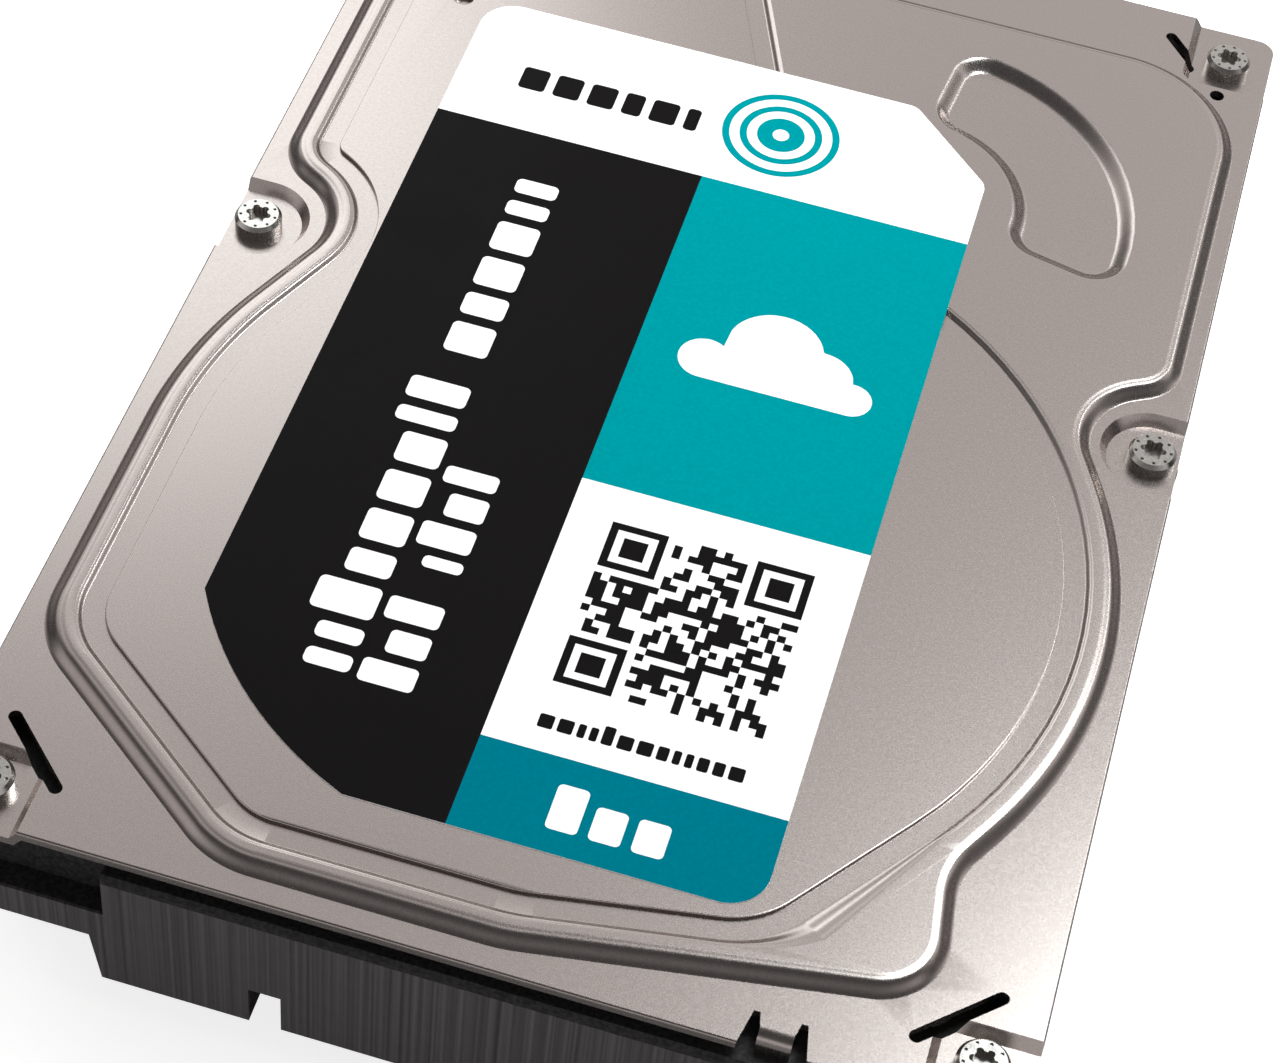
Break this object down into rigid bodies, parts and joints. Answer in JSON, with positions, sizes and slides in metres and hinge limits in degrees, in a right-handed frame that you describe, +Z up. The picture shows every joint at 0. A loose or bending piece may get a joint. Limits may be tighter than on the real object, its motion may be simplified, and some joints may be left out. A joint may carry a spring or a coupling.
{
  "type": "hard disk drive",
  "caption": "Internal 3.5-inch hard disk drive: die-cast base, pressed cover with label, disc pack, swinging head arms and circuit board.",
  "frame": {"origin": "centre of the plan at the mounting face underneath", "axes": "+Z up through the cover, +Y towards the connector end, +X to the right seen from above with the connector end far away"},
  "size_m": [0.1016, 0.147, 0.0261],
  "materials": {
    "black_casting": "black electrophoretic coat on die-cast aluminium, satin",
    "cover_metal": "satin grained sheet",
    "bright_screw": "bright plated steel",
    "label_paper": "printed paper label, semi-gloss",
    "black_rubber": "soft, matte",
    "disc_plate": "polished coated disc",
    "machined_aluminium": "fine turned",
    "plain_steel": "ground steel",
    "core_steel": "stacked laminations",
    "copper_wire": "enamelled copper",
    "plated_magnet": "nickel plate",
    "board_green": "solder mask",
    "chip_black": "moulded epoxy",
    "component_tan": "ceramic",
    "black_plastic": "moulded, satin",
    "pale_plastic": "moulded, natural",
    "gold_contact": "gold flash",
    "grey_foam": "thin foam",
    "white_fleece": "filter fleece",
    "amber_film": "polyimide film"
  },
  "bodies": {
    "chassis": {"base_casting": "black_casting", "top_cover": "cover_metal", "cover_gasket": "black_rubber", "cover_screws": "bright_screw", "shaft_screws": "bright_screw", "product_label": "label_paper", "breather_filter": "white_fleece", "motor_base": "plain_steel", "spindle_shaft": "plain_steel", "stator_core": "core_steel", "stator_windings": "copper_wire", "pivot_shaft": "plain_steel", "lower_yoke": "plated_magnet", "upper_yoke": "plated_magnet", "lower_magnets": "plated_magnet", "upper_magnets": "plated_magnet", "yoke_posts": "plain_steel", "yoke_screws": "bright_screw", "crash_stops": "black_rubber", "latch_pin": "plain_steel", "latch_collar": "pale_plastic", "load_ramp": "pale_plastic", "ramp_screw": "bright_screw", "filter_frame": "pale_plastic", "air_filter": "white_fleece", "desiccant_pack": "white_fleece", "bulkhead_connector": "black_plastic", "flex_bracket": "plain_steel", "flex_cable": "amber_film", "circuit_board": "board_green", "board_screws": "bright_screw", "board_insulator": "grey_foam", "controller_chip": "chip_black", "memory_chip": "chip_black", "motor_driver_chip": "chip_black", "board_components": "component_tan", "sata_connector": "black_plastic", "connector_contacts": "gold_contact", "jumper_block": "black_plastic", "jumper_pins": "gold_contact", "motor_flex": "amber_film"},
    "spindle": {"rotor_hub": "machined_aluminium", "rotor_magnet": "plated_magnet", "disc_spacers": "machined_aluminium", "disc_clamp": "plain_steel", "clamp_screws": "bright_screw", "platter_1": "disc_plate", "platter_2": "disc_plate", "platter_3": "disc_plate", "platter_4": "disc_plate", "platter_5": "disc_plate"},
    "actuator": {"arm_block": "machined_aluminium", "pivot_bearings": "plain_steel", "voice_coil": "copper_wire", "coil_carrier": "pale_plastic", "head_suspensions": "plain_steel", "head_sliders": "chip_black", "arm_flex": "amber_film", "preamplifier": "chip_black"},
    "latch": {"latch_lever": "pale_plastic"}
  },
  "joints": [
    {"name": "spindle_spin", "type": "hinge", "parent": "chassis", "child": "spindle", "pos_m": [0, -0.022, 0.0127], "axis": [0, 0, 1], "continuous": true},
    {"name": "arm_swing", "type": "hinge", "parent": "chassis", "child": "actuator", "pos_m": [0.0157, 0.0324, 0.0153], "axis": [0, 0, 1], "range_deg": [0, 33.4]},
    {"name": "latch_swing", "type": "hinge", "parent": "chassis", "child": "latch", "pos_m": [0.03884, 0.01849, 0.0153], "axis": [0, 0, 1], "range_deg": [-8, 8]}
  ]
}
